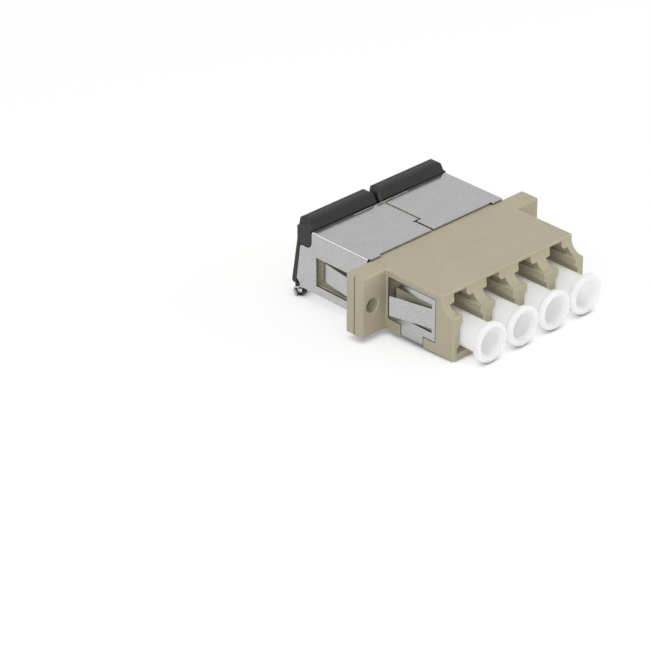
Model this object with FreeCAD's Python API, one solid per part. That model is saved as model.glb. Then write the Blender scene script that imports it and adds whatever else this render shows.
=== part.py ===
import FreeCAD, Part
import math
import os

# Four-port fibre adapter with a two-screw flange, press-in dust caps on its front side
# and two sprung shutters on its rear side.
# X runs along the row of ports, -Y is the dust cap side, +Y the shutter side, +Z is up.
# The origin is midway between the two flange holes, on the flange face that meets the panel.
# Sizes are in millimetres. Names that end in _H are heights above the underside of the body,
# names that end in _DOWN are distances below its top, and names that end in _PAST are
# distances beyond the piece that the size starts from.

V = FreeCAD.Vector
X_AXIS = V(1, 0, 0)
Y_AXIS = V(0, 1, 0)
Z_AXIS = V(0, 0, 1)

# Port block
PORTS = 4
PITCH = 6.25
PORT_SIZE = 4.56
PORT_AXIS_H = 3.25
END_WALL = 1.145
BODY_HEIGHT = 9.2
TOP_WALL = 0.43
EDGE_BAND = 0.6
SCOOP_RADIUS = 2.0
NOSE_FLAT = 0.25
FRONT_TOP_LENGTH = 10.5
REAR_TOP_LENGTH = 10.85
CORNER_CHAMFER = 0.18

# Latch way above each port
THROAT_WIDTH = 3.56
LEDGE_BEVEL = 0.4
LATCH_DEPTH = 7.9
SLOT_WIDTH = 2.5
HOOK_HEIGHT = 1.15
HOOK_DEPTH = 1.9
HOOK_BEVEL_X = 0.22
HOOK_BEVEL_Z = 0.33
POCKET_REACH = 0.5
POCKET_HEIGHT = 0.86
POCKET_SLOPE = 0.45
POCKET_DEPTH = 2.4

# Flange
EAR_LENGTH = 4.5
FLANGE_DEPTH = 3.2
EAR_HOLE_RADIUS = 1.1
EAR_HOLE_INSET = 1.9
EAR_HOLE_CHAMFER = 0.1
EAR_ROUND = 0.3
WELD_GROOVE = 0.1

# Ceramic alignment sleeves and their tubes
SLEEVE_LENGTH = 6.8
SLEEVE_BORE_RADIUS = 0.625
SLEEVE_WALL = 0.185
SLEEVE_SLIT = 0.22
SLEEVE_PLAY = 0.05
TUBE_WALL = 0.59
TUBE_LIP = 0.55
LIP_HOLE_RADIUS = 0.72
LIP_FLARE = 0.35
WEB_THICKNESS = 2.0
HOLDER_FLANGE_RADIUS = 2.0
HOLDER_FLANGE = 0.5
HOLDER_PLAY = 0.03

# Spring sheet clip round the front half
CLIP_SHEET = 0.25
CLIP_GAP = 0.05
CLIP_BACK = 0.4
CLIP_LENGTH = 8.8
CLIP_TOP_DOWN = 1.17
CLIP_BACK_LOW_H = 1.8
CLIP_FRONT_LOW_H = 1.6
STRAP_BACK = 2.85
STRAP_WIDTH = 4.1
CLIP_WINDOW_BACK = 1.5
CLIP_WINDOW_LENGTH = 7.05
CLIP_WINDOW_LOW_H = 2.8
CLIP_WINDOW_DOWN = 2.08
CLIP_SLOT = 0.65
CLIP_TONGUE_END = 2.1
CLIP_TONGUE_SPREAD = 1.6
CLIP_CLEARANCE = 0.14

# Sheet frame round the rear half
SHEET = 0.25
FRAME_SIDE_GAP = 0.2
FRAME_TOP_GAP = 0.1
FRAME_FLOOR_GAP = 0.05
FRAME_BEND = 0.36
FRAME_START_GAP = 0.05
FRAME_TOP_PAST = 0.05
FRAME_FOOT_PAST = 2.45
FRAME_HIGH_PAST = 2.35
FRAME_LOW_PAST = 3.07
FRAME_LOBE_DOWN = 2.35
FRAME_LOBE_RADIUS = 1.05
FRAME_TOE_H = 1.3
FRAME_TOE_CUT = 0.6
SEAM_GAP = 0.42
SEAM_X = 0.25
SEAM_TAB_REACH = 0.9
SEAM_TAB_LENGTH = 3.3
SEAM_TAB_GAP = 0.32
SEAM_RELIEF = 0.24
RIB_HEIGHT = 0.24
RIB_CLEARANCE = 0.06
RIB_WIDTH = 0.3
RIB_BAR_LENGTH = 10.8
CORNER_TAB_WIDTH = 1.9
CORNER_TAB_REACH = 0.3

# Side window of the frame, with the tongue that bends in behind the body
WINDOW_START = 3.45
WINDOW_END = 10.0
WINDOW_LOW_H = 1.5
WINDOW_DOWN = 3.25
WINDOW_SLOT = 0.75
TONGUE_END_GAP = 0.75
TONGUE_BEND = 0.75
SIDE_POCKET_DEPTH = 0.65
SIDE_POCKET_CLEARANCE = 0.4

# Hinge row under the shutters
HINGE_PAST = 0.7
PIN_RADIUS = 0.475
PIN_CHAMFER = 0.1
PIN_END_GAP = 0.1
PIN_CLEARANCE = 0.05
BARREL_CLEARANCE = 0.03
BARREL_DROP = 0.42
BARREL_MOUTH = 0.15
BARREL_ONE = (0.7, 1.7)
BARREL_TWO = (-3.2, -2.25)
APRON = (-4.4, 3.3)
APRON_SETBACK = 0.45
TAIL_WIDTH = 0.35
TAIL_INSET = 0.1

# Shutters
FLAP_GAP = 0.5
FLAP_RADIUS = 0.8
FLAP_FACE_PAST = 1.37
FLAP_LEAN_DEG = 9.5
FLAP_FACE_LOW_H = 1.05
FLAP_FOOT_H = 0.42
FLAP_TOP_RISE = 1.8
FLAP_TOP_DEPTH = 1.7
FLAP_TOP_ROUND = 0.4
FLAP_SHOULDER_ROUND = 0.9
FLAP_CORNER_ROUND = 1.0
FLAP_END_CHAMFER = 0.4
FLAP_REST_GAP = 0.1
FLAP_SCOOP_GAP = 0.16
FLAP_SCOOP_END_DEG = 262
FLAP_HEEL = 0.15
FLAP_TOE = 0.6
LOBE_THICKNESS = 0.4
LOBE_GAP = 0.12
KNUCKLE_WIDTH = 0.8
KNUCKLE_INSET_PLUS = 1.55
KNUCKLE_INSET_MINUS = 0.55
GROOVE_PLAY = 0.1
GROOVE_BACK_GAP = 0.05
GROOVE_END_PLAY = 0.3

# Torsion springs
WIRE_RADIUS = 0.1
COIL_RADIUS = 0.61
COIL_PITCH = 0.22
COIL_TURNS = 4.85
COIL_START_X = -1.6
POINTS_PER_TURN = 12
LEG_LENGTH = 3.3
LEG_SLANT = 0.17
REST_LEG_LENGTH = 0.6

# Labels
LABEL_WIDTH = 11.6
LABEL_HEIGHT = 7.4
LABEL_FOOT_BELOW_TOP = 7.7
LABEL_MARGIN = 0.45
LABEL_ROUND = 1.0
LABEL_THICKNESS = 0.1

# Dust caps
CAP_RADIUS = 2.2
CAP_RING_RADIUS = 2.91
CAP_RING_THICKNESS = 1.0
CAP_REACH_OUT = 3.85
CAP_REACH_IN = 8.4
CAP_BORE_RADIUS = 1.9
CAP_BORE_DEPTH = 4.2
CAP_LIP_CHAMFER = 0.22
CAP_EDGE_ROUND = 0.3

# Sizes that follow from those above
BODY_WIDTH = (PORTS - 1) * PITCH + PORT_SIZE + 2 * END_WALL
FLANGE_WIDTH = BODY_WIDTH + 2 * EAR_LENGTH
HOLE_SPACING = FLANGE_WIDTH - 2 * EAR_HOLE_INSET
SEAM_Y = FLANGE_DEPTH / 2
BOTTOM = -BODY_HEIGHT / 2
TOP = BODY_HEIGHT / 2
PORT_Z = BOTTOM + PORT_AXIS_H
PORT_HALF = PORT_SIZE / 2
LATCH_TOP = TOP - TOP_WALL
SHOULDER_Z = TOP - EDGE_BAND - SCOOP_RADIUS
NOSE_LENGTH = SCOOP_RADIUS + NOSE_FLAT
SLEEVE_RADIUS = SLEEVE_BORE_RADIUS + SLEEVE_WALL
TUBE_RADIUS = SLEEVE_RADIUS + SLEEVE_PLAY + TUBE_WALL
TUBE_END = SLEEVE_LENGTH / 2 + SLEEVE_PLAY + TUBE_LIP
CLIP_TOP_H = BODY_HEIGHT - CLIP_TOP_DOWN
CLIP_WINDOW_HIGH_H = BODY_HEIGHT - CLIP_WINDOW_DOWN
REAR_FACE = FLANGE_DEPTH
FRAME_TOP_LENGTH = REAR_TOP_LENGTH + FRAME_TOP_PAST
FRAME_FOOT_LENGTH = REAR_TOP_LENGTH + FRAME_FOOT_PAST
FRAME_SIDE_HIGH = REAR_TOP_LENGTH + FRAME_HIGH_PAST
FRAME_SIDE_LOW = REAR_TOP_LENGTH + FRAME_LOW_PAST
FRAME_LOBE_H = BODY_HEIGHT - FRAME_LOBE_DOWN
WINDOW_HIGH_H = BODY_HEIGHT - WINDOW_DOWN
FRAME_HALF = BODY_WIDTH / 2 + FRAME_SIDE_GAP + SHEET
FRAME_TOP = TOP + FRAME_TOP_GAP + SHEET
REAR_FLOOR = BOTTOM + SHEET + FRAME_FLOOR_GAP
HINGE_Y = REAR_FACE + FRAME_FOOT_LENGTH + HINGE_PAST
BARREL_RADIUS = PIN_RADIUS + BARREL_CLEARANCE + SHEET
HINGE_Z = BOTTOM + SHEET - BARREL_RADIUS - BARREL_DROP
FLAP_FACE_FOOT_Y = HINGE_Y + FLAP_FACE_PAST
FLAP_WIDTH = FRAME_HALF - FLAP_GAP / 2
FLAP_CENTRE = (FRAME_HALF + FLAP_GAP / 2) / 2
FLAP_TOP_H = BODY_HEIGHT + FLAP_TOP_RISE
FLAP_RAIL_H = FRAME_LOBE_H - LOBE_GAP
FLAP_SLOPE = math.tan(math.radians(FLAP_LEAN_DEG))
SCOOP_Y = REAR_FACE + REAR_TOP_LENGTH + SCOOP_RADIUS
SCOOP_Z = TOP - EDGE_BAND
LABEL_LOW_H = FLAP_TOP_H - LABEL_FOOT_BELOW_TOP

PORT_XS = [(i - (PORTS - 1) / 2) * PITCH for i in range(PORTS)]
SIDES = {"left": -1, "right": 1}


def box(x0, x1, y0, y1, z0, z1):
    """A block between two opposite corners."""
    return Part.makeBox(x1 - x0, y1 - y0, z1 - z0, V(x0, y0, z0))


def prism_x(points, x0, x1):
    """A side view outline of (y, z) points, drawn out along X."""
    wire = Part.makePolygon([V(x0, y, z) for y, z in points + points[:1]])
    return Part.Face(wire).extrude(V(x1 - x0, 0, 0))


def prism_y(points, y0, y1):
    """A front view outline of (x, z) points, drawn out along Y."""
    wire = Part.makePolygon([V(x, y0, z) for x, z in points + points[:1]])
    return Part.Face(wire).extrude(V(0, y1 - y0, 0))


def prism_z(points, z0, z1):
    """A plan view outline of (x, y) points, drawn out along Z."""
    wire = Part.makePolygon([V(x, y, z0) for x, y in points + points[:1]])
    return Part.Face(wire).extrude(V(0, 0, z1 - z0))


def rod_x(radius, x0, x1, y, z):
    """A round bar along X."""
    return Part.makeCylinder(radius, x1 - x0, V(x0, y, z), X_AXIS)


def rod_y(radius, x, y0, y1, z):
    """A round bar along Y."""
    return Part.makeCylinder(radius, y1 - y0, V(x, y0, z), Y_AXIS)


def height(value):
    """The Z of a height above the underside of the body."""
    return BOTTOM + value


def arc_edge(centre_y, centre_z, radius, start_deg, end_deg):
    """An arc in the YZ plane at X = 0, its angles counted from +Y towards +Z."""
    points = []
    for angle in (start_deg, (start_deg + end_deg) / 2, end_deg):
        turn = math.radians(angle)
        points.append(V(0, centre_y + radius * math.cos(turn), centre_z + radius * math.sin(turn)))
    return Part.Arc(*points).toShape()


def chain_yz(*parts):
    """A closed outline in the YZ plane from arcs and corner points, in order."""
    edges = []
    last = None
    first = None
    for part in parts:
        start = part.valueAt(part.FirstParameter) if isinstance(part, Part.Edge) else V(0, *part)
        end = part.valueAt(part.LastParameter) if isinstance(part, Part.Edge) else start
        if last is not None and last.distanceToPoint(start) > 1e-6:
            edges.append(Part.makeLine(last, start))
        if isinstance(part, Part.Edge):
            edges.append(part)
        first = start if first is None else first
        last = end
    edges.append(Part.makeLine(last, first))
    return Part.Face(Part.Wire(edges))


def widen(face, x0, x1):
    """A YZ face drawn out along X between two planes."""
    face.translate(V(x0, 0, 0))
    return face.extrude(V(x1 - x0, 0, 0))


def fuse(shapes):
    """One solid from several that meet or overlap."""
    result = shapes[0].multiFuse(shapes[1:])
    return result.removeSplitter()


def edges_where(shape, test):
    """The edges whose middle point passes a test."""
    chosen = []
    for edge in shape.Edges:
        if test(edge, edge.valueAt((edge.FirstParameter + edge.LastParameter) / 2)):
            chosen.append(edge)
    return chosen


def save(node, shape):
    """Check one sub-part and write its STEP file."""
    solids = shape.Solids
    solid = solids[0] if len(solids) == 1 else Part.makeCompound(solids)
    solid.exportStep(os.path.join("parts", node + ".step"))
    print("%-22s solids %d  volume %.3f  valid %s" % (node, len(solids), solid.Volume, solid.isValid()))


def body_block(top_length, floor_z):
    """Half of the port block, from the weld seam outwards along +Y, with its scooped nose."""
    scoop_y = SEAM_Y + top_length + SCOOP_RADIUS
    scoop = arc_edge(scoop_y, TOP - EDGE_BAND, SCOOP_RADIUS, 180, 270)
    outline = chain_yz((SEAM_Y / 2, TOP), (SEAM_Y + top_length, TOP), scoop,
                       (scoop_y + NOSE_FLAT, SHOULDER_Z), (scoop_y + NOSE_FLAT, floor_z),
                       (SEAM_Y / 2, floor_z))
    block = widen(outline, -BODY_WIDTH / 2, BODY_WIDTH / 2)

    def side_edge(edge, middle):
        return abs(abs(middle.x) - BODY_WIDTH / 2) < 1e-6 and middle.y > SEAM_Y and middle.z > floor_z + 1e-6

    return block.makeChamfer(CORNER_CHAMFER, edges_where(block, side_edge))


def flange_half():
    """Half of the flange, with rounded outer edges and a bevel on the weld seam."""
    half = FLANGE_WIDTH / 2
    block = box(-half, half, 0, SEAM_Y, BOTTOM, TOP)

    def outer(edge, middle):
        return middle.y > SEAM_Y - 1e-6 or (abs(abs(middle.x) - half) < 1e-6 and middle.y > 1e-6)

    def seam(edge, middle):
        return middle.y < 1e-6 and middle.z < TOP - 1e-6

    block = block.makeFillet(EAR_ROUND, edges_where(block, outer))
    block = block.makeChamfer(WELD_GROOVE, edges_where(block, seam))
    holes = []
    for side in (-1, 1):
        x = side * HOLE_SPACING / 2
        mouth = V(x, SEAM_Y - EAR_HOLE_CHAMFER, 0)
        mouth_radius = EAR_HOLE_RADIUS + EAR_HOLE_CHAMFER
        holes.append(rod_y(EAR_HOLE_RADIUS, x, -1, SEAM_Y + 1, 0))
        holes.append(Part.makeCone(EAR_HOLE_RADIUS, mouth_radius, EAR_HOLE_CHAMFER, mouth, Y_AXIS))
    return block.cut(holes)


def port_outline(x):
    """Port channel with bevelled ledges, then the throat up to the shoulder."""
    low = PORT_Z - PORT_HALF
    high = PORT_Z + PORT_HALF
    throat = THROAT_WIDTH / 2
    right = [(PORT_HALF, low), (PORT_HALF, high - LEDGE_BEVEL), (throat, high), (throat, SHOULDER_Z)]
    left = [(-px, pz) for px, pz in reversed(right)]
    return [(x + px, pz) for px, pz in right + left]


def mouth_outline(x):
    """Latch way at the mouth, narrowed to a slot between two hooks."""
    hook_z = LATCH_TOP - HOOK_HEIGHT
    slot = SLOT_WIDTH / 2
    right = [(PORT_HALF, SHOULDER_Z), (PORT_HALF, hook_z), (slot + HOOK_BEVEL_X, hook_z),
             (slot, hook_z + HOOK_BEVEL_Z), (slot, LATCH_TOP)]
    left = [(-px, pz) for px, pz in reversed(right)]
    return [(x + px, pz) for px, pz in right + left]


def corner_pockets(x, mouth_y):
    """Relief at the two lower corners of a port mouth."""
    low = PORT_Z - PORT_HALF
    high = low + POCKET_HEIGHT
    cuts = []
    for side in (-1, 1):
        inner = x + side * (PORT_HALF - POCKET_REACH)
        outer = x + side * (PORT_HALF + POCKET_REACH)
        points = [(inner, low), (outer, low), (outer, high), (x + side * PORT_HALF, high + POCKET_SLOPE),
                  (inner, high + POCKET_SLOPE)]
        cuts.append(prism_y(points, mouth_y - POCKET_DEPTH, mouth_y + 1))
    return cuts


def port_cuts(top_length):
    """Everything that is open inside one housing half, outwards along +Y."""
    top_y = SEAM_Y + top_length
    mouth_y = top_y + NOSE_LENGTH
    latch_y = top_y - LATCH_DEPTH
    cuts = []
    for x in PORT_XS:
        port = prism_y(port_outline(x), WEB_THICKNESS / 2, mouth_y + 1)
        throat = box(x - THROAT_WIDTH, x + THROAT_WIDTH, 0, latch_y, PORT_Z + PORT_HALF, TOP)
        cuts.append(port.cut(throat))
        cuts.append(box(x - PORT_HALF, x + PORT_HALF, latch_y, top_y - HOOK_DEPTH, SHOULDER_Z, LATCH_TOP))
        cuts.append(prism_y(mouth_outline(x), top_y - HOOK_DEPTH, mouth_y + 1))
        cuts.extend(corner_pockets(x, mouth_y))
    return cuts


def sleeve_tube(x):
    """Tube round a ferrule axis that holds half of an alignment sleeve."""
    return rod_y(TUBE_RADIUS, x, 0, TUBE_END, PORT_Z)


def sleeve_cavity(x):
    """Room for the sleeve, then the flared lip that keeps it in and guides the ferrule."""
    room_end = SLEEVE_LENGTH / 2 + SLEEVE_PLAY
    room = rod_y(SLEEVE_RADIUS + SLEEVE_PLAY, x, -1, room_end, PORT_Z)
    start = V(x, room_end, PORT_Z)
    lead_in = Part.makeCone(LIP_HOLE_RADIUS, LIP_HOLE_RADIUS + LIP_FLARE, TUBE_LIP, start, Y_AXIS)
    return [room, lead_in]


def holder_seat(x):
    """Stepped hole in the rear web that a sleeve holder drops into from the weld seam."""
    step = rod_y(HOLDER_FLANGE_RADIUS + HOLDER_PLAY, x, -1, HOLDER_FLANGE + HOLDER_PLAY, PORT_Z)
    hole = rod_y(TUBE_RADIUS + HOLDER_PLAY, x, -1, WEB_THICKNESS, PORT_Z)
    return [step, hole]


def housing_half(top_length, floor_z):
    """One moulded half before its own side features, with the weld seam at Y = 0."""
    shell = fuse([body_block(top_length, floor_z), flange_half()])
    return shell.cut(port_cuts(top_length))


def clip_outline(grow):
    """Side plate of the clip as (y, z) points, larger all round by grow."""
    back = -CLIP_BACK + grow
    front = -CLIP_BACK - CLIP_LENGTH - grow
    strap_back = -STRAP_BACK + grow
    strap_front = -STRAP_BACK - STRAP_WIDTH - grow
    return [(back, height(CLIP_TOP_H) + grow), (front, height(CLIP_TOP_H) + grow),
            (front, height(CLIP_FRONT_LOW_H) - grow), (strap_front, height(CLIP_FRONT_LOW_H) - grow),
            (strap_front, BOTTOM), (strap_back, BOTTOM),
            (strap_back, height(CLIP_BACK_LOW_H) - grow), (back, height(CLIP_BACK_LOW_H) - grow)]


def clip_pockets():
    """Recess for the clip in both sides and the underside of the front half."""
    depth = CLIP_SHEET + 2 * CLIP_GAP
    half = BODY_WIDTH / 2
    strap_back = -STRAP_BACK + CLIP_CLEARANCE
    strap_front = -STRAP_BACK - STRAP_WIDTH - CLIP_CLEARANCE
    cuts = [box(-half, half, strap_front, strap_back, BOTTOM, BOTTOM + depth)]
    for side in (-1, 1):
        low, high = sorted((side * half, side * (half - depth)))
        cuts.append(prism_x(clip_outline(CLIP_CLEARANCE), low, high))
    return cuts


def make_housing_front():
    """Moulded half on the dust cap side, with the recess for the panel clip."""
    half = housing_half(FRONT_TOP_LENGTH, BOTTOM)
    half = fuse([half] + [sleeve_tube(x) for x in PORT_XS])
    half = half.cut([cut for x in PORT_XS for cut in sleeve_cavity(x)])
    half.rotate(V(0, 0, 0), Z_AXIS, 180)
    half.translate(V(0, SEAM_Y, 0))
    return half.cut(clip_pockets())


def locating_rib():
    """T-shaped rib that stands in the seam and the front cut-out of the frame."""
    start = REAR_FACE + SEAM_TAB_LENGTH + SEAM_GAP
    bar_end = REAR_FACE + REAR_TOP_LENGTH
    bar_half = RIB_BAR_LENGTH / 2
    stem = box(SEAM_X - RIB_WIDTH / 2, SEAM_X + RIB_WIDTH / 2, start, bar_end, TOP - 0.1, TOP + RIB_HEIGHT)
    bar = box(-bar_half, bar_half, bar_end - RIB_WIDTH, bar_end, TOP - 0.1, TOP + RIB_HEIGHT)
    return [stem, bar]


def side_pockets():
    """Recess in both sides of the rear half that the frame's tongues reach into."""
    y0 = REAR_FACE + WINDOW_START
    y1 = REAR_FACE + WINDOW_END + SIDE_POCKET_CLEARANCE
    z0 = height(WINDOW_LOW_H)
    z1 = height(WINDOW_HIGH_H)
    half = BODY_WIDTH / 2
    inner = half - SIDE_POCKET_DEPTH
    return [box(-half, -inner, y0, y1, z0, z1), box(inner, half, y0, y1, z0, z1)]


def make_housing_rear():
    """Moulded half on the shutter side, with a raised floor for the frame."""
    half = housing_half(REAR_TOP_LENGTH, REAR_FLOOR)
    half = half.cut([cut for x in PORT_XS for cut in holder_seat(x)])
    half.translate(V(0, SEAM_Y, 0))
    half = fuse([half] + locating_rib())
    return half.cut(side_pockets())


def make_sleeve_holder(x):
    """Flanged bush, trapped at the weld seam, that holds the rear half of a sleeve."""
    flange = rod_y(HOLDER_FLANGE_RADIUS, x, 0, HOLDER_FLANGE, PORT_Z)
    holder = fuse([sleeve_tube(x), flange]).cut(sleeve_cavity(x))
    holder.translate(V(0, SEAM_Y, 0))
    return holder


def make_alignment_sleeve(x):
    """Split ceramic sleeve that lines up two ferrules."""
    start = SEAM_Y - SLEEVE_LENGTH / 2
    end = SEAM_Y + SLEEVE_LENGTH / 2
    wall = rod_y(SLEEVE_RADIUS, x, start, end, PORT_Z)
    bore = rod_y(SLEEVE_BORE_RADIUS, x, start - 1, end + 1, PORT_Z)
    slit_half = SLEEVE_SLIT / 2
    slit = box(x - slit_half, x + slit_half, start - 1, end + 1, PORT_Z, PORT_Z + 2 * SLEEVE_RADIUS)
    return wall.cut([bore, slit])


def clip_side(side):
    """One side plate with its window and the tongue that springs out behind the panel."""
    outer = BODY_WIDTH / 2 - CLIP_GAP
    inner = outer - CLIP_SHEET
    plate = prism_x(clip_outline(0), inner, outer)
    back = -CLIP_WINDOW_BACK
    front = back - CLIP_WINDOW_LENGTH
    low = height(CLIP_WINDOW_LOW_H)
    high = height(CLIP_WINDOW_HIGH_H)
    plate = plate.cut(box(inner - 1, outer + 1, front, back, low, high))
    tip = -CLIP_TONGUE_END
    spread = CLIP_TONGUE_SPREAD
    points = [(inner, front - CLIP_SHEET), (outer, front - CLIP_SHEET), (outer, front),
              (outer + spread, tip), (inner + spread, tip), (inner, front)]
    tongue = prism_z(points, low + CLIP_SLOT, high - CLIP_SLOT)
    whole = fuse([plate, tongue])
    return whole if side > 0 else whole.mirror(V(0, 0, 0), X_AXIS)


def make_panel_clip():
    """U-shaped spring sheet: two side plates and the strap that joins them underneath."""
    half = BODY_WIDTH / 2 - CLIP_GAP
    strap = box(-half, half, -STRAP_BACK - STRAP_WIDTH, -STRAP_BACK, BOTTOM, BOTTOM + CLIP_SHEET)
    clip = fuse([strap, clip_side(-1), clip_side(1)])

    def bend(edge, middle):
        return abs(middle.z - BOTTOM) < 1e-6 and abs(abs(middle.x) - half) < 1e-6

    return clip.makeFillet(CLIP_SHEET * 0.9, edges_where(clip, bend))


def frame_outline():
    """Side view of the frame: set back at the top for the shutter's lobe, long at the foot."""
    back = REAR_FACE + FRAME_START_GAP
    top_y = REAR_FACE + FRAME_TOP_LENGTH
    lobe_z = height(FRAME_LOBE_H)
    radius = FRAME_LOBE_RADIUS
    lobe = arc_edge(top_y + radius, lobe_z + radius, radius, 180, 270)
    high_y = REAR_FACE + FRAME_SIDE_HIGH
    low_y = REAR_FACE + FRAME_SIDE_LOW
    toe = height(FRAME_TOE_H)
    foot_y = REAR_FACE + FRAME_FOOT_LENGTH
    return chain_yz((back, BOTTOM - 1), (back, FRAME_TOP + 1), (top_y, FRAME_TOP + 1), lobe,
                    (high_y - 0.2, lobe_z), (high_y, lobe_z - 0.3), (low_y, toe),
                    (foot_y, toe - FRAME_TOE_CUT), (foot_y, BOTTOM - 1))


def frame_tube():
    """The sheet folded into a rectangular tube with rounded bends."""
    length = FRAME_SIDE_LOW + 1
    outer = box(-FRAME_HALF, FRAME_HALF, REAR_FACE, REAR_FACE + length, BOTTOM, FRAME_TOP)
    inner_half = FRAME_HALF - SHEET
    inner = box(-inner_half, inner_half, REAR_FACE, REAR_FACE + length, BOTTOM + SHEET, FRAME_TOP - SHEET)

    def bends(edge, middle):
        return edge.BoundBox.YLength > 1

    outer = outer.makeFillet(FRAME_BEND, edges_where(outer, bends))
    inner = inner.makeFillet(FRAME_BEND - SHEET, edges_where(inner, bends))
    return outer.cut(inner)


def frame_seam():
    """Gap where the two ends of the sheet meet on top, stepped at the tab beside the flange."""
    low = FRAME_TOP - 2 * SHEET
    high = FRAME_TOP + 1
    step = REAR_FACE + SEAM_TAB_LENGTH
    end = REAR_FACE + FRAME_TOP_LENGTH
    main = box(SEAM_X - SEAM_GAP / 2, SEAM_X + SEAM_GAP / 2, step, end + 1, low, high)
    tab_x = SEAM_X - SEAM_TAB_REACH
    tab = box(tab_x - SEAM_TAB_GAP / 2, tab_x + SEAM_TAB_GAP / 2, REAR_FACE - 1, step, low, high)
    relief = box(tab_x - SEAM_GAP, SEAM_X, step, step + SEAM_RELIEF, low, high)
    bar_half = RIB_BAR_LENGTH / 2 + RIB_CLEARANCE
    cut_out = box(-bar_half, bar_half, end - RIB_WIDTH - 2 * RIB_CLEARANCE, end + 1, low, high)
    return [main, tab, relief, cut_out]


def window_cuts():
    """Side windows: a slot above and below each tongue, with rounded roots, and its free end."""
    y0 = REAR_FACE + WINDOW_START
    y1 = REAR_FACE + WINDOW_END
    low = height(WINDOW_LOW_H)
    high = height(WINDOW_HIGH_H)
    radius = WINDOW_SLOT / 2
    cuts = []
    for side in (-1, 1):
        x0, x1 = sorted((side * (FRAME_HALF - 2 * SHEET), side * (FRAME_HALF + 1)))
        cuts.append(box(x0, x1, y0 + radius, y1, low, high))
        cuts.append(rod_x(radius, x0, x1, y0 + radius, low + radius))
        cuts.append(rod_x(radius, x0, x1, y0 + radius, high - radius))
    return cuts


def frame_tongue(side):
    """Tongue that bends in from the flange side of a window."""
    root = REAR_FACE + WINDOW_START
    bend_y = root + WINDOW_SLOT / 2
    end = REAR_FACE + WINDOW_END - TONGUE_END_GAP
    outer = FRAME_HALF
    inner = FRAME_HALF - SHEET
    points = [(inner, root), (outer, root), (outer, bend_y), (outer - TONGUE_BEND, end),
              (inner - TONGUE_BEND, end), (inner, bend_y)]
    points = [(side * x, y) for x, y in points]
    return prism_z(points, height(WINDOW_LOW_H + WINDOW_SLOT), height(WINDOW_HIGH_H - WINDOW_SLOT))


def floor_tab(x0, x1, end_y):
    """Strip of the floor sheet that slopes down towards the hinge pin and stops at end_y."""
    start_y = REAR_FACE + FRAME_FOOT_LENGTH
    drop = BARREL_DROP * (end_y - start_y) / (HINGE_Y - start_y)
    root_y = start_y - 2 * SHEET
    points = [(root_y, BOTTOM), (start_y, BOTTOM), (end_y, BOTTOM - drop),
              (end_y, BOTTOM + SHEET - drop), (start_y, BOTTOM + SHEET), (root_y, BOTTOM + SHEET)]
    return prism_x(points, x0, x1)


def rolled_barrel(x0, x1):
    """Knuckle rolled from the floor sheet round the hinge pin, open just under the sheet."""
    roll = rod_x(BARREL_RADIUS, x0, x1, HINGE_Y, HINGE_Z)
    bore = rod_x(BARREL_RADIUS - SHEET, x0 - 1, x1 + 1, HINGE_Y, HINGE_Z)
    mouth = floor_tab(x0 - 1, x1 + 1, HINGE_Y - SHEET)
    mouth.translate(V(0, 0, -BARREL_MOUTH))
    ring = roll.cut([bore, mouth])
    return fuse([floor_tab(x0, x1, HINGE_Y).cut(bore), ring])


def frame_tail(side):
    """Half-rolled end of the floor sheet that stops the pin from sliding out."""
    outer = side * (FRAME_HALF - TAIL_INSET)
    inner = side * (FRAME_HALF - TAIL_INSET - TAIL_WIDTH)
    x0, x1 = sorted((outer, inner))
    roll = rod_x(BARREL_RADIUS, x0, x1, HINGE_Y, HINGE_Z)
    bore = rod_x(BARREL_RADIUS - SHEET, x0 - 1, x1 + 1, HINGE_Y, HINGE_Z)
    inner_top = HINGE_Z + BARREL_RADIUS - SHEET
    behind = box(x0 - 1, x1 + 1, HINGE_Y - 2 * BARREL_RADIUS, HINGE_Y, HINGE_Z - 2, inner_top)
    ring = roll.cut([bore, behind])
    return fuse([floor_tab(x0, x1, HINGE_Y).cut(bore), ring])


def corner_tab(side):
    """Small lip of the top sheet that laps over the flange at each outer corner."""
    outer = FRAME_HALF - FRAME_BEND
    x0, x1 = sorted((side * outer, side * (outer - CORNER_TAB_WIDTH)))
    root_y = REAR_FACE + 2 * FRAME_START_GAP
    return box(x0, x1, REAR_FACE - CORNER_TAB_REACH, root_y, FRAME_TOP - SHEET, FRAME_TOP)


def make_shutter_frame():
    """Sheet frame that carries the shutters, folded in one piece round the rear half."""
    keep = widen(frame_outline(), -FRAME_HALF - 1, FRAME_HALF + 1)
    sheet = frame_tube().common(keep)
    sheet = sheet.cut(frame_seam() + window_cuts())
    parts = [sheet]
    for side in (-1, 1):
        parts.append(frame_tongue(side))
        parts.append(frame_tail(side))
        parts.append(corner_tab(side))
        centre = side * FLAP_CENTRE
        parts.append(floor_tab(centre + APRON[0], centre + APRON[1], HINGE_Y - APRON_SETBACK))
        for low, high in (BARREL_ONE, BARREL_TWO):
            parts.append(rolled_barrel(centre + low, centre + high))
    return fuse(parts)


def make_hinge_pin():
    """Plain pin through all the hinge knuckles, between the two tails."""
    half = FRAME_HALF - TAIL_INSET - TAIL_WIDTH - PIN_END_GAP
    pin = rod_x(PIN_RADIUS, -half, half, HINGE_Y, HINGE_Z)

    def ends(edge, middle):
        return abs(abs(middle.x) - half) < 1e-6

    return pin.makeChamfer(PIN_CHAMFER, edges_where(pin, ends))


def face_y(z):
    """Y of the shutter's outer face at a given Z."""
    return FLAP_FACE_FOOT_Y - (z - BOTTOM) * FLAP_SLOPE


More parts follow.
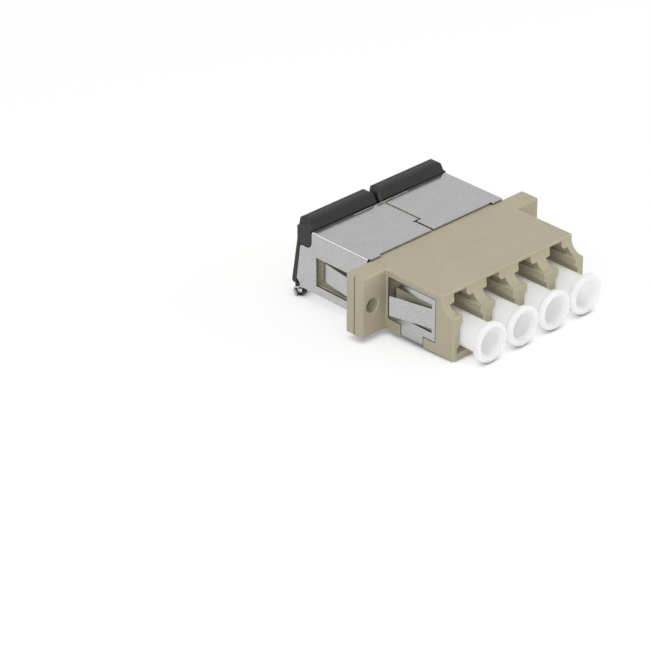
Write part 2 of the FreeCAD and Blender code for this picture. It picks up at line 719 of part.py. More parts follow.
def flap_section():
    """Side view of a shutter: leaning plate, and a thick top rail that follows the scoop."""
    radius = SCOOP_RADIUS - FLAP_SCOOP_GAP
    scoop = arc_edge(SCOOP_Y, SCOOP_Z, radius, FLAP_SCOOP_END_DEG, 180)
    top = height(FLAP_TOP_H)
    front_low = height(FLAP_FACE_LOW_H)
    foot = height(FLAP_FOOT_H)
    back = REAR_FACE + FLAP_REST_GAP
    return chain_yz(scoop, (SCOOP_Y - radius, FRAME_TOP + FLAP_REST_GAP), (face_y(top) - FLAP_TOP_DEPTH, top),
                    (face_y(top), top), (face_y(front_low), front_low),
                    (HINGE_Y + FLAP_TOE, foot), (HINGE_Y - FLAP_HEEL, foot),
                    (back + FRAME_SIDE_LOW, height(FRAME_TOE_H)),
                    (back + FRAME_SIDE_HIGH, height(FLAP_RAIL_H)))


def flap_lobe(x0, x1):
    """Rounded cheek that fills the set-back corner of the frame's side."""
    radius = FRAME_LOBE_RADIUS - LOBE_GAP
    centre_y = REAR_FACE + FRAME_TOP_LENGTH + FRAME_LOBE_RADIUS
    centre_z = height(FRAME_LOBE_H) + FRAME_LOBE_RADIUS
    low = centre_z - radius
    back = centre_y - radius
    front = face_y(centre_z) - 0.3
    outline = chain_yz((back, FRAME_TOP + FLAP_REST_GAP), arc_edge(centre_y, centre_z, radius, 180, 270),
                       (front, low), (front, FRAME_TOP + FLAP_REST_GAP))
    return widen(outline, x0, x1)


def flap_knuckle(x0, x1):
    """Eye round the pin, on an arm down from the shutter's foot."""
    foot = height(FLAP_FOOT_H)
    eye = rod_x(FLAP_RADIUS, x0, x1, HINGE_Y, HINGE_Z)
    arm = box(x0, x1, HINGE_Y - FLAP_HEEL, HINGE_Y + FLAP_RADIUS, HINGE_Z, foot + 0.1)
    return fuse([eye, arm])


def soften_flap(plate, low_x, high_x):
    """Round the long edges of the top rail, chamfer the ends of the face and round the top corners."""
    top = height(FLAP_TOP_H)
    foot = height(FLAP_FOOT_H)

    def shoulder(edge, middle):
        return abs(middle.z - top) < 1e-6 and abs(middle.y - face_y(top) + FLAP_TOP_DEPTH) < 1e-6

    def brow(edge, middle):
        return abs(middle.z - top) < 1e-6 and abs(middle.y - face_y(top)) < 1e-6

    def face_end(edge, middle):
        at_end = min(abs(middle.x - low_x), abs(middle.x - high_x)) < 1e-6
        return at_end and abs(middle.y - face_y(middle.z)) < 1e-6

    plate = plate.makeFillet(FLAP_SHOULDER_ROUND, edges_where(plate, shoulder))
    plate = plate.makeFillet(FLAP_TOP_ROUND, edges_where(plate, brow))
    plate = plate.makeChamfer(FLAP_END_CHAMFER, edges_where(plate, face_end))

    def top_corner(edge, middle):
        at_end = min(abs(middle.x - low_x), abs(middle.x - high_x)) < 1e-6
        return at_end and abs(middle.z - top) < 1e-6

    front_view = box(low_x, high_x, REAR_FACE, FLAP_FACE_FOOT_Y, foot, top)
    return plate.common(front_view.makeFillet(FLAP_CORNER_ROUND, edges_where(front_view, top_corner)))


def frame_room(side):
    """Space that the frame's set-back side wall needs at the outer end of a shutter."""
    inner = FRAME_HALF - SHEET - LOBE_GAP
    front = REAR_FACE + FRAME_SIDE_HIGH + FLAP_REST_GAP
    x0, x1 = sorted((side * inner, side * (FRAME_HALF + 1)))
    return box(x0, x1, REAR_FACE, front, BOTTOM, FRAME_TOP + FLAP_REST_GAP)


def leg_x(centre, z):
    """X of the spring's long leg at a given Z."""
    return centre + COIL_START_X + (z - HINGE_Z) * LEG_SLANT


def spring_groove(centre):
    """Slit in the shutter's face, open at the foot, that the spring's long leg lies in."""
    side_room = WIRE_RADIUS + GROOVE_PLAY
    tip = HINGE_Z + LEG_LENGTH
    back = HINGE_Y + COIL_RADIUS - WIRE_RADIUS - GROOVE_BACK_GAP
    low_x = leg_x(centre, height(FLAP_FOOT_H)) - side_room
    high_x = leg_x(centre, tip) + side_room
    return box(low_x, high_x, back, FLAP_FACE_FOOT_Y + 1, HINGE_Z, tip + GROOVE_END_PLAY)


def make_flap(side):
    """One shutter. Both are the same moulding, so their knuckles sit alike."""
    centre = side * FLAP_CENTRE
    low_x = centre - FLAP_WIDTH / 2
    high_x = centre + FLAP_WIDTH / 2
    plate = soften_flap(widen(flap_section(), low_x, high_x), low_x, high_x)
    plate = plate.cut(frame_room(side))
    plus = high_x - KNUCKLE_INSET_PLUS
    minus = low_x + KNUCKLE_INSET_MINUS
    lobe = side * FRAME_HALF
    lobe_x0, lobe_x1 = sorted((lobe, lobe - side * LOBE_THICKNESS))
    flap = fuse([plate, flap_lobe(lobe_x0, lobe_x1), flap_knuckle(plus - KNUCKLE_WIDTH, plus),
                 flap_knuckle(minus, minus + KNUCKLE_WIDTH)])
    bore = rod_x(PIN_RADIUS + PIN_CLEARANCE, low_x - 1, high_x + 1, HINGE_Y, HINGE_Z)
    return flap.cut([spring_groove(centre), bore])


def spring_path(centre):
    """Points along the wire: up leg, coil wound towards +X, then the leg along the barrels."""
    start_x = centre + COIL_START_X
    steps = round(COIL_TURNS * POINTS_PER_TURN)
    points = []
    for share in (1.0, 0.7, 0.4, 0.15):
        z = HINGE_Z + share * LEG_LENGTH
        points.append(V(leg_x(centre, z), HINGE_Y + COIL_RADIUS, z))
    for step in range(steps + 1):
        turn = step / POINTS_PER_TURN
        angle = -2 * math.pi * turn
        y = COIL_RADIUS * math.cos(angle)
        z = COIL_RADIUS * math.sin(angle)
        points.append(V(start_x + COIL_PITCH * turn, HINGE_Y + y, HINGE_Z + z))
    end = points[-1]
    for share in (0.3, 0.6, 1.0):
        points.append(V(end.x + share * REST_LEG_LENGTH, end.y, end.z))
    return points


def make_torsion_spring(side):
    """Close-wound spring on the pin: one leg up the shutter's groove, one along the barrels."""
    curve = Part.BSplineCurve()
    curve.interpolate(spring_path(side * FLAP_CENTRE))
    start = curve.value(curve.FirstParameter)
    section = Part.Wire(Part.makeCircle(WIRE_RADIUS, start, curve.tangent(curve.FirstParameter)[0]))
    return Part.Wire(curve.toShape()).makePipeShell([section], True, False)


def make_label(side):
    """Plain rectangular sticker with rounded corners on the shutter's outer face."""
    low_x = side * FLAP_CENTRE - FLAP_WIDTH / 2 + LABEL_MARGIN
    plate = box(low_x, low_x + LABEL_WIDTH, 0, LABEL_THICKNESS, 0, LABEL_HEIGHT)

    def corners(edge, middle):
        return edge.BoundBox.YLength > LABEL_THICKNESS / 2

    plate = plate.makeFillet(LABEL_ROUND, edges_where(plate, corners))
    plate.rotate(V(0, 0, 0), X_AXIS, FLAP_LEAN_DEG)
    z = height(LABEL_LOW_H)
    plate.translate(V(0, face_y(z), z))
    return plate


def make_dust_cap(x):
    """Push-in cap: a blind tube with a thick finger ring."""
    mouth = -FRONT_TOP_LENGTH - NOSE_LENGTH
    face = mouth - CAP_REACH_OUT
    ring = rod_y(CAP_RING_RADIUS, x, face, face + CAP_RING_THICKNESS, PORT_Z)
    ring = ring.makeFillet(CAP_EDGE_ROUND, edges_where(ring, lambda edge, middle: edge.Closed))
    barrel = rod_y(CAP_RADIUS, x, face + CAP_EDGE_ROUND, mouth + CAP_REACH_IN, PORT_Z)

    def inner_end(edge, middle):
        return edge.Closed and middle.y > mouth + CAP_REACH_IN - 1e-6

    barrel = barrel.makeChamfer(CAP_LIP_CHAMFER, edges_where(barrel, inner_end))
    bore = rod_y(CAP_BORE_RADIUS, x, face, face + CAP_BORE_DEPTH, PORT_Z)
    lip_radius = CAP_BORE_RADIUS + CAP_LIP_CHAMFER
    lip = Part.makeCone(lip_radius, CAP_BORE_RADIUS, CAP_LIP_CHAMFER, V(x, face, PORT_Z), Y_AXIS)
    return fuse([ring, barrel]).cut([bore, lip])


def main():
    """Build every sub-part and write it to parts/."""
    os.makedirs("parts", exist_ok=True)
    save("housing_front", make_housing_front())
    save("housing_rear", make_housing_rear())
    save("panel_clip", make_panel_clip())
    save("shutter_frame", make_shutter_frame())
    save("hinge_pin", make_hinge_pin())
    for name, side in SIDES.items():
        save("shutter_flap_" + name, make_flap(side))
        save("torsion_spring_" + name, make_torsion_spring(side))
        save("flap_label_" + name, make_label(side))
    for number, x in enumerate(PORT_XS, 1):
        save("sleeve_holder_%d" % number, make_sleeve_holder(x))
        save("alignment_sleeve_%d" % number, make_alignment_sleeve(x))
        save("dust_cap_%d" % number, make_dust_cap(x))


main()
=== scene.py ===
# %% [markdown]
# A four-port fibre adapter: a beige moulded body with a two-hole flange, a spring clip round its
# front half, and on its rear half a folded steel sheet that carries two sprung black shutters.
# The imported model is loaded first. It gives every rigid piece in metres, already in its place,
# so this lesson is about surfaces, finishes and light.

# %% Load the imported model
import math
import bmesh
import bpy
import numpy as np
from mathutils import Matrix, Vector


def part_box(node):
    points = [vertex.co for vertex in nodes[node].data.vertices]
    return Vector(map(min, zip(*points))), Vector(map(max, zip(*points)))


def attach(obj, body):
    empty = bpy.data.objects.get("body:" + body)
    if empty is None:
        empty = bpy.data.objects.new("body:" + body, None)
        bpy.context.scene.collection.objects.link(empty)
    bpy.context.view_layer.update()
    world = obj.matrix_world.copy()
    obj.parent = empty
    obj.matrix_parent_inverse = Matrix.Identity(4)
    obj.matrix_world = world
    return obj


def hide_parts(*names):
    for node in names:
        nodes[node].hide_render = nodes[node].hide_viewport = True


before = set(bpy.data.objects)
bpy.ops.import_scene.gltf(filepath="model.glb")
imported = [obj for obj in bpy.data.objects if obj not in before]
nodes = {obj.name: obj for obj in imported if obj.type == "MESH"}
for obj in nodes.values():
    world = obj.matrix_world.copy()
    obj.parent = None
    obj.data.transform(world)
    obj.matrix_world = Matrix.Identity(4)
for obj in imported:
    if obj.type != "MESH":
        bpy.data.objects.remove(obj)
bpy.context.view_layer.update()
MM = 0.001

# %% [markdown]
# Finishes are written as the colours one would pick on a screen. Blender mixes light in linear
# values, so one function turns a hex colour into those.

# %% Colours
def linear(code):
    """sRGB hex to linear RGBA: v / 12.92 below 0.04045, else ((v + 0.055) / 1.055) to the power 2.4."""
    parts = np.array([int(code[i:i + 2], 16) for i in (1, 3, 5)]) / 255.0
    value = np.where(parts <= 0.04045, parts / 12.92, ((parts + 0.055) / 1.055) ** 2.4)
    return (float(value[0]), float(value[1]), float(value[2]), 1.0)


WHITE = (1.0, 1.0, 1.0, 1.0)
print("beige in linear values:", [round(v, 3) for v in linear("#B6AF96")])

# %% [markdown]
# A material is a tree of shader nodes. One function adds a node with its settings and whatever
# feeds its sockets, and another starts an empty material, so each finish below reads like a
# short recipe.

# %% Material helpers
def add(tree, kind, sockets=None, stops=(), **settings):
    """Add one node. Sockets maps an input's name or number to a source or a plain value.

    Settings are the node's attributes. Stops are the places and colours of a colour ramp's ends.
    """
    made = tree.nodes.new(kind)
    for name, value in settings.items():
        setattr(made, name, value)
    for name, value in (sockets or {}).items():
        if isinstance(value, bpy.types.NodeSocket):
            tree.links.new(value, made.inputs[name])
        else:
            made.inputs[name].default_value = value
    for number, (position, colour) in enumerate(stops):
        made.color_ramp.elements[number].position = position
        made.color_ramp.elements[number].color = colour
    return made


def start_material(name):
    """An empty material with a Principled shader, its output and object coordinates in metres."""
    material = bpy.data.materials.new(name)
    material.use_nodes = True
    tree = material.node_tree
    tree.nodes.clear()
    shader = add(tree, "ShaderNodeBsdfPrincipled")
    add(tree, "ShaderNodeOutputMaterial", {"Surface": shader.outputs["BSDF"]})
    place = add(tree, "ShaderNodeTexCoord").outputs["Object"]
    return material, tree, shader, place


print("material helpers ready")

# %% [markdown]
# The body is welded from two halves. Round the sides of the flange the seam between them stays
# open and shows as one dark hairline with sharp edges. All other edges are rounded by the mould,
# and a paler colour is painted along them as a highlight.

# %% Seam and painted edge highlight
HAIRLINE_HALF = 0.07 * MM
HAIRLINE_BELOW_TOP = 0.15 * MM
SEAM_SHARP = 0.25 * MM


def seam_distance(tree, place, seam_y):
    """How far a point is from the seam's plane: |y - seam|."""
    y = add(tree, "ShaderNodeSeparateXYZ", {"Vector": place}).outputs["Y"]
    past = add(tree, "ShaderNodeMath", {0: y, 1: seam_y}, operation="SUBTRACT").outputs[0]
    return add(tree, "ShaderNodeMath", {0: past}, operation="ABSOLUTE").outputs[0]


def hairline(tree, place, colour, seam_y, top_z):
    """Multiply by dark grey where |y - seam| < 0.07 mm and z is over 0.15 mm below the flange's top."""
    z = add(tree, "ShaderNodeSeparateXYZ", {"Vector": place}).outputs["Z"]
    far = seam_distance(tree, place, seam_y)
    near = add(tree, "ShaderNodeMath", {0: far, 1: HAIRLINE_HALF}, operation="LESS_THAN").outputs[0]
    below = add(tree, "ShaderNodeMath", {0: z, 1: top_z - HAIRLINE_BELOW_TOP}, operation="LESS_THAN").outputs[0]
    part = add(tree, "ShaderNodeMath", {0: near, 1: below}, operation="MULTIPLY").outputs[0]
    return add(tree, "ShaderNodeMix", {0: part, 6: colour, 7: linear("#7A766A")},
               data_type="RGBA", blend_type="MULTIPLY").outputs[2]


def off_seam(tree, place, rounded_normal, seam_y):
    """The rounded normal and share 1 where |y - seam| > 0.25 mm, the plain normal and 0 nearer."""
    far = seam_distance(tree, place, seam_y)
    share = add(tree, "ShaderNodeMath", {0: far, 1: SEAM_SHARP}, operation="GREATER_THAN").outputs[0]
    plain = add(tree, "ShaderNodeNewGeometry").outputs["Normal"]
    normal = add(tree, "ShaderNodeMix", {0: share, 4: plain, 5: rounded_normal}, data_type="VECTOR")
    return normal.outputs[1], share


def painted_edge_highlight(tree, colour, rounded_normal, share, pale):
    """Painted highlight: mix in a paler colour where the rounded and plain normals differ (dot product <
    0.995).
    """
    plain = add(tree, "ShaderNodeNewGeometry").outputs["Normal"]
    same = add(tree, "ShaderNodeVectorMath", {0: rounded_normal, 1: plain}, operation="DOT_PRODUCT")
    edge_light = add(tree, "ShaderNodeMapRange", {"Value": same.outputs["Value"], "From Min": 0.85,
                                            "From Max": 0.995, "To Min": 1.0, "To Max": 0.0})
    part = add(tree, "ShaderNodeMath", {0: edge_light.outputs["Result"], 1: share}, operation="MULTIPLY").outputs[0]
    return add(tree, "ShaderNodeMix", {0: part, 6: colour, 7: pale}, data_type="RGBA").outputs[2]


print("seam hairline half width in mm:", HAIRLINE_HALF / MM)

# %% [markdown]
# The body is moulded PBT, a dense engineering plastic. The mould is spark eroded, which leaves a
# fine even grain about 0.12 mm across, so the plastic looks dull and never shows a sharp
# reflection. A Bevel node rounds the edges by 0.16 mm where light meets them. Narrow gaps are
# painted darker than the open faces, as painted shade for the little light that finds its way out of them.

# %% Beige moulded plastic
def beige_plastic():
    """Colour drifts over 6 mm and speckles over 0.25 mm; grain of 0.12 mm is in bump and roughness."""
    material, tree, shader, place = start_material("beige moulded PBT")
    drift = add(tree, "ShaderNodeTexNoise", {"Vector": place, "Scale": 1 / (6 * MM), "Detail": 1.0})
    speckle = add(tree, "ShaderNodeTexNoise", {"Vector": place, "Scale": 1 / (0.25 * MM), "Detail": 2.0})
    tone = add(tree, "ShaderNodeMix", {0: 0.7, 2: drift.outputs["Fac"], 3: speckle.outputs["Fac"]},
               data_type="FLOAT").outputs[0]
    bare = add(tree, "ShaderNodeValToRGB", {"Fac": tone},
               stops=[(0.35, linear("#B1AA91")), (0.65, linear("#BAB39B"))]).outputs["Color"]
    # painted shade: ambient occlusion darkens the colour in narrow gaps
    gap = add(tree, "ShaderNodeAmbientOcclusion", {"Distance": 0.3 * MM}, samples=4).outputs["AO"]
    shade = add(tree, "ShaderNodeValToRGB", {"Fac": gap},
                stops=[(0.1, linear("#7E7A6D")), (0.55, WHITE)]).outputs["Color"]
    colour = add(tree, "ShaderNodeMix", {0: 1.0, 6: bare, 7: shade},
                 data_type="RGBA", blend_type="MULTIPLY").outputs[2]
    grain = add(tree, "ShaderNodeTexNoise", {"Vector": place, "Scale": 1 / (0.12 * MM), "Detail": 3.0})
    dull = add(tree, "ShaderNodeMapRange", {"Value": grain.outputs["Fac"], "To Min": 0.5, "To Max": 0.66})
    edge = add(tree, "ShaderNodeBevel", {"Radius": 0.16 * MM}, samples=6).outputs["Normal"]
    seam_y, top_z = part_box("housing_front")[1][1:]
    normal, share = off_seam(tree, place, edge, seam_y)
    bump = add(tree, "ShaderNodeBump", {"Height": grain.outputs["Fac"], "Normal": normal,
                                        "Strength": 0.25, "Distance": 0.01 * MM})
    # painted highlight: a paler colour along the rounded edges
    edge_light = painted_edge_highlight(tree, colour, edge, share, linear("#E2DDCB"))
    tree.links.new(hairline(tree, place, edge_light, seam_y, top_z), shader.inputs["Base Color"])
    tree.links.new(dull.outputs["Result"], shader.inputs["Roughness"])
    tree.links.new(bump.outputs["Normal"], shader.inputs["Normal"])
    shader.inputs["IOR"].default_value = 1.5
    shader.inputs["Specular IOR Level"].default_value = 0.4
    return material


beige = beige_plastic()
print("made", beige.name)

# %% [markdown]
# The frame and the clip are cold rolled stainless sheet, 0.25 mm thick. Rolling leaves faint
# lines a few hundredths of a millimetre apart, which are drawn at 0.08 mm so that they show.
# They blur reflections more across the lines than along them.

# %% Rolled stainless sheet
ROLLING_STRETCH = (1.0, 0.06, 1.0)


def rolled_sheet(name, corner_reach):
    """Noise squeezed across the rolling direction, matt grain of 0.2 mm, very faint marks 2 mm wide.

    Nearer than corner_reach to a wall that stands over it, the colour is painted darker, as painted shade for
    the shade the sheet mirrors.
    """
    material, tree, shader, place = start_material(name)
    lines = add(tree, "ShaderNodeMapping", {"Vector": place, "Scale": ROLLING_STRETCH}).outputs["Vector"]
    rolled = add(tree, "ShaderNodeTexNoise", {"Vector": lines, "Scale": 1 / (0.08 * MM), "Detail": 2.0})
    marks = add(tree, "ShaderNodeTexNoise", {"Vector": place, "Scale": 1 / (2 * MM), "Detail": 5.0})
    grain = add(tree, "ShaderNodeTexNoise", {"Vector": place, "Scale": 1 / (0.2 * MM), "Detail": 2.0})
    tone = add(tree, "ShaderNodeMix", {0: 0.8, 2: marks.outputs["Fac"], 3: grain.outputs["Fac"]},
               data_type="FLOAT").outputs[0]
    bare = add(tree, "ShaderNodeValToRGB", {"Fac": tone},
               stops=[(0.35, linear("#B0B0B1")), (0.65, linear("#C1C1C1"))]).outputs["Color"]
    # painted shade: the colour darkens near walls that stand over the sheet
    walls = add(tree, "ShaderNodeAmbientOcclusion", {"Distance": corner_reach}, samples=4).outputs["AO"]
    shade = add(tree, "ShaderNodeValToRGB", {"Fac": walls},
                stops=[(0.5, linear("#3C3C3C")), (0.76, WHITE)]).outputs["Color"]
    colour = add(tree, "ShaderNodeMix", {0: 1.0, 6: bare, 7: shade}, data_type="RGBA", blend_type="MULTIPLY")
    rough = add(tree, "ShaderNodeMapRange", {"Value": marks.outputs["Fac"], "To Min": 0.15, "To Max": 0.19})
    edge = add(tree, "ShaderNodeBevel", {"Radius": 0.06 * MM}, samples=6).outputs["Normal"]
    bump = add(tree, "ShaderNodeBump", {"Height": rolled.outputs["Fac"], "Normal": edge,
                                        "Strength": 0.12, "Distance": 0.004 * MM})
    tree.links.new(colour.outputs[2], shader.inputs["Base Color"])
    tree.links.new(rough.outputs["Result"], shader.inputs["Roughness"])
    tree.links.new(bump.outputs["Normal"], shader.inputs["Normal"])
    shader.inputs["Metallic"].default_value = 1.0
    return material


sheet_steel = rolled_sheet("rolled stainless sheet", 0.4 * MM)
clip_steel = rolled_sheet("rolled spring sheet", 2.5 * MM)
print("made", sheet_steel.name, "and", clip_steel.name)

# %% [markdown]
# The pin and the springs are drawn wire, brighter than the sheet because the die polishes them.

# %% Drawn steel wire
DRAWING_STRETCH = (0.1, 1.0, 1.0)


def drawn_wire():
    """Noise stretched along X, the pin's direction, at 0.05 mm across."""
    material, tree, shader, place = start_material("drawn spring steel wire")
    lines = add(tree, "ShaderNodeMapping", {"Vector": place, "Scale": DRAWING_STRETCH}).outputs["Vector"]
    draw = add(tree, "ShaderNodeTexNoise", {"Vector": lines, "Scale": 1 / (0.05 * MM), "Detail": 1.0})
    colour = add(tree, "ShaderNodeValToRGB", {"Fac": draw.outputs["Fac"]},
                 stops=[(0.2, linear("#CFCFCF")), (0.8, linear("#DEDEDC"))])
    rough = add(tree, "ShaderNodeMapRange", {"Value": draw.outputs["Fac"], "To Min": 0.14, "To Max": 0.24})
    tree.links.new(colour.outputs["Color"], shader.inputs["Base Color"])
    tree.links.new(rough.outputs["Result"], shader.inputs["Roughness"])
    shader.inputs["Metallic"].default_value = 1.0
    return material


wire_steel = drawn_wire()
print("made", wire_steel.name)

# %% [markdown]
# The shutters are black glass-filled nylon from a fine blasted mould: very dark grey with a soft
# sheen, and edges that catch the light.

# %% Black shutter plastic
def black_nylon():
    """Fine grain of 0.1 mm in bump; the blasting makes the sheen vary over 1.5 mm."""
    material, tree, shader, place = start_material("black moulded nylon")
    patch = add(tree, "ShaderNodeTexNoise", {"Vector": place, "Scale": 1 / (1.5 * MM), "Detail": 3.0})
    colour = add(tree, "ShaderNodeValToRGB", {"Fac": patch.outputs["Fac"]},
                 stops=[(0.3, linear("#171718")), (0.7, linear("#1E1E1F"))])
    rough = add(tree, "ShaderNodeMapRange", {"Value": patch.outputs["Fac"], "To Min": 0.4, "To Max": 0.52})
    grain = add(tree, "ShaderNodeTexNoise", {"Vector": place, "Scale": 1 / (0.1 * MM), "Detail": 2.0})
    edge = add(tree, "ShaderNodeBevel", {"Radius": 0.14 * MM}, samples=6).outputs["Normal"]
    bump = add(tree, "ShaderNodeBump", {"Height": grain.outputs["Fac"], "Normal": edge,
                                        "Strength": 0.2, "Distance": 0.01 * MM})
    tree.links.new(colour.outputs["Color"], shader.inputs["Base Color"])
    tree.links.new(rough.outputs["Result"], shader.inputs["Roughness"])
    tree.links.new(bump.outputs["Normal"], shader.inputs["Normal"])
    shader.inputs["IOR"].default_value = 1.53
    shader.inputs["Specular IOR Level"].default_value = 0.45
    return material


black = black_nylon()
print("made", black.name)

# %% [markdown]
# The stickers are plain yellow polyester film. Film is smooth, with a very slight orange peel
# from the glue under it.

# %% Yellow sticker film
def yellow_film():
    """Even yellow, orange peel about 0.8 mm across."""
    material, tree, shader, place = start_material("yellow polyester film")
    peel = add(tree, "ShaderNodeTexNoise", {"Vector": place, "Scale": 1 / (0.8 * MM), "Detail": 1.0})
    colour = add(tree, "ShaderNodeValToRGB", {"Fac": peel.outputs["Fac"]},
                 stops=[(0.3, linear("#EFE645")), (0.7, linear("#F2EA58"))])
    bump = add(tree, "ShaderNodeBump", {"Height": peel.outputs["Fac"],
                                        "Strength": 0.05, "Distance": 0.01 * MM})
    tree.links.new(colour.outputs["Color"], shader.inputs["Base Color"])
    tree.links.new(bump.outputs["Normal"], shader.inputs["Normal"])
    shader.inputs["Roughness"].default_value = 0.38
    shader.inputs["IOR"].default_value = 1.57
    return material


yellow = yellow_film()
print("made", yellow.name)

# %% [markdown]
# The dust caps are soft polyethylene. Light goes a little way into it before it comes back, so
# the caps look milky, and their edges never look sharp. Light that has scattered many times in
# the wall fills the bore too. A few bounces don't carry that far, so where the walls face each
# other a faint glow stands in for it.

# %% White cap plastic
def milky_polyethylene():
    """Subsurface depth of 2 mm, mould texture of 0.3 mm, glow = 0.15 (1 - openness / 0.75) over 4 mm."""
    material, tree, shader, place = start_material("milky moulded polyethylene")
    haze = add(tree, "ShaderNodeTexNoise", {"Vector": place, "Scale": 1 / (2 * MM), "Detail": 2.0})
    colour = add(tree, "ShaderNodeValToRGB", {"Fac": haze.outputs["Fac"]},
                 stops=[(0.3, linear("#F8F9F9")), (0.7, linear("#FCFCFC"))])
    grain = add(tree, "ShaderNodeTexNoise", {"Vector": place, "Scale": 1 / (0.3 * MM), "Detail": 2.0})
    bump = add(tree, "ShaderNodeBump", {"Height": grain.outputs["Fac"],
                                        "Strength": 0.08, "Distance": 0.01 * MM})
    tree.links.new(colour.outputs["Color"], shader.inputs["Base Color"])
    tree.links.new(bump.outputs["Normal"], shader.inputs["Normal"])
    shader.inputs["Roughness"].default_value = 0.4
    shader.inputs["IOR"].default_value = 1.51
    shader.inputs["Subsurface Weight"].default_value = 1.0
    shader.inputs["Subsurface Radius"].default_value = (1.0, 1.0, 1.0)
    shader.inputs["Subsurface Scale"].default_value = 2 * MM
    # painted light: an emission glow where the walls face each other stands in for light scattered through the
    # wall
    walls = add(tree, "ShaderNodeAmbientOcclusion", {"Distance": 4 * MM}, samples=4).outputs["AO"]
    glow = add(tree, "ShaderNodeMapRange", {"Value": walls, "From Max": 0.75, "To Min": 0.15, "To Max": 0.0})
    tree.links.new(glow.outputs["Result"], shader.inputs["Emission Strength"])
    shader.inputs["Emission Color"].default_value = linear("#F4F5F6")
    return material


milky = milky_polyethylene()
print("made", milky.name)

# %% [markdown]
# The alignment sleeves are ground zirconia, a white ceramic with a shine like porcelain.

# %% Zirconia ceramic
def zirconia():
    """White with a faint warm cloud of 1 mm, nearly polished."""
    material, tree, shader, place = start_material("ground zirconia")
    cloud = add(tree, "ShaderNodeTexNoise", {"Vector": place, "Scale": 1 / (1 * MM), "Detail": 2.0})
    colour = add(tree, "ShaderNodeValToRGB", {"Fac": cloud.outputs["Fac"]},
                 stops=[(0.3, linear("#EDE9E0")), (0.7, linear("#F3F1EB"))])
    tree.links.new(colour.outputs["Color"], shader.inputs["Base Color"])
    shader.inputs["Roughness"].default_value = 0.15
    shader.inputs["IOR"].default_value = 2.1
    return material


ceramic = zirconia()
print("made", ceramic.name)

# %% [markdown]
# The CAD nodes keep their exact meshes. Each one only gets its finish.

# %% Give each CAD node its finish
finishes = {"housing": beige, "sleeve_holder": beige, "panel_clip": clip_steel,
            "shutter_frame": sheet_steel, "hinge_pin": wire_steel, "torsion_spring": wire_steel,
            "alignment_sleeve": ceramic, "shutter_flap": black, "flap_label": yellow, "dust_cap": milky}
for name, piece in nodes.items():
    finish = next(finishes[key] for key in finishes if name.startswith(key))
    for slot in piece.material_slots:
        slot.material = finish
    print(name, "->", finish.name)

# %% [markdown]
# New pieces are grids of points. A grid has rows along one parameter and columns round the
# other, and this helper joins neighbours into four-sided faces.

# %% Grid to mesh
def grid_piece(name, points):
    """Points is an array (rows, columns, 3) in metres, its columns closed into rings.

    Face (i, j) joins points (i, j), (i, j+1), (i+1, j+1) and (i+1, j).
    """
    rows, columns = points.shape[:2]
    index = np.arange(rows * columns).reshape(rows, columns)
    upper, lower = index[:-1], index[1:]
    around = [upper, np.roll(upper, -1, axis=1), np.roll(lower, -1, axis=1), lower]
    faces = np.stack(around, axis=-1).reshape(-1, 4)
    mesh = bpy.data.meshes.new(name)
    mesh.from_pydata(points.reshape(-1, 3).tolist(), [], faces.tolist())
    mesh.polygons.foreach_set("use_smooth", np.ones(len(faces), dtype=bool))
    piece = bpy.data.objects.new(name, mesh)
    bpy.context.collection.objects.link(piece)
    return piece


SAME_POINT = 1e-7


def close_up(piece):
    """Merge the points of each pole and seam, and point all faces outwards."""
    work = bmesh.new()
    work.from_mesh(piece.data)
    bmesh.ops.remove_doubles(work, verts=work.verts, dist=SAME_POINT)
    bmesh.ops.dissolve_degenerate(work, dist=SAME_POINT / 10, edges=work.edges)
    bmesh.ops.recalc_face_normals(work, faces=work.faces)
    work.to_mesh(piece.data)
    work.free()


print("grid helper ready")

# %% [markdown]
# A dust cap is a turned form: a blind tube with a thick finger ring. It could be made from
# cylinders, but soft plastic has no sharp edges, so its half profile is drawn as corner points,
# each corner is rounded, and the line is carried once round the port's axis.

# %% Dust caps
def rounded(corners, steps=5):
    """Replace each inner corner (a, b, radius) by a quadratic curve of that reach.

    Point(t) = (1-t)^2 * start + 2t(1-t) * corner + t^2 * end.
    """
    places = np.array([[a, b] for a, b, _ in corners], float)
    line = [places[0]]
    t = np.linspace(0, 1, steps)[:, None]
    for i in range(1, len(places) - 1):
        reach = corners[i][2]
        back = (places[i - 1] - places[i]) / np.linalg.norm(places[i - 1] - places[i])
        ahead = (places[i + 1] - places[i]) / np.linalg.norm(places[i + 1] - places[i])
        start, end = places[i] + back * reach, places[i] + ahead * reach
        line.extend((1 - t) ** 2 * start + 2 * t * (1 - t) * places[i] + t ** 2 * end)
    line.append(places[-1])
    return np.array(line)


def turned(name, profile, centre_x, centre_z, steps=96):
    """x = cx + r cos a, z = cz + r sin a, y = profile height, for angles a all the way round."""
    angle = np.linspace(0, 2 * np.pi, steps, endpoint=False)[None, :]
    radius, along = profile[:, :1], profile[:, 1:]
    x = centre_x + radius * np.cos(angle)
    z = centre_z + radius * np.sin(angle)
    points = np.stack([x, along + 0 * angle, z], axis=-1)
    piece = grid_piece(name, points)
    close_up(piece)
    return piece


BARREL = 2.2 * MM
BORE = 1.9 * MM
BORE_DEPTH = 4.2 * MM
RING_THICK = 1.0 * MM
END_CHAMFER = 0.3 * MM
MOUTH_WIDER, MOUTH_DEPTH = 0.34 * MM, 0.7 * MM
BORE_DRAFT = 0.06 * MM, -0.05 * MM
SMALL_ROUND, LARGE_ROUND = 0.12 * MM, 0.3 * MM


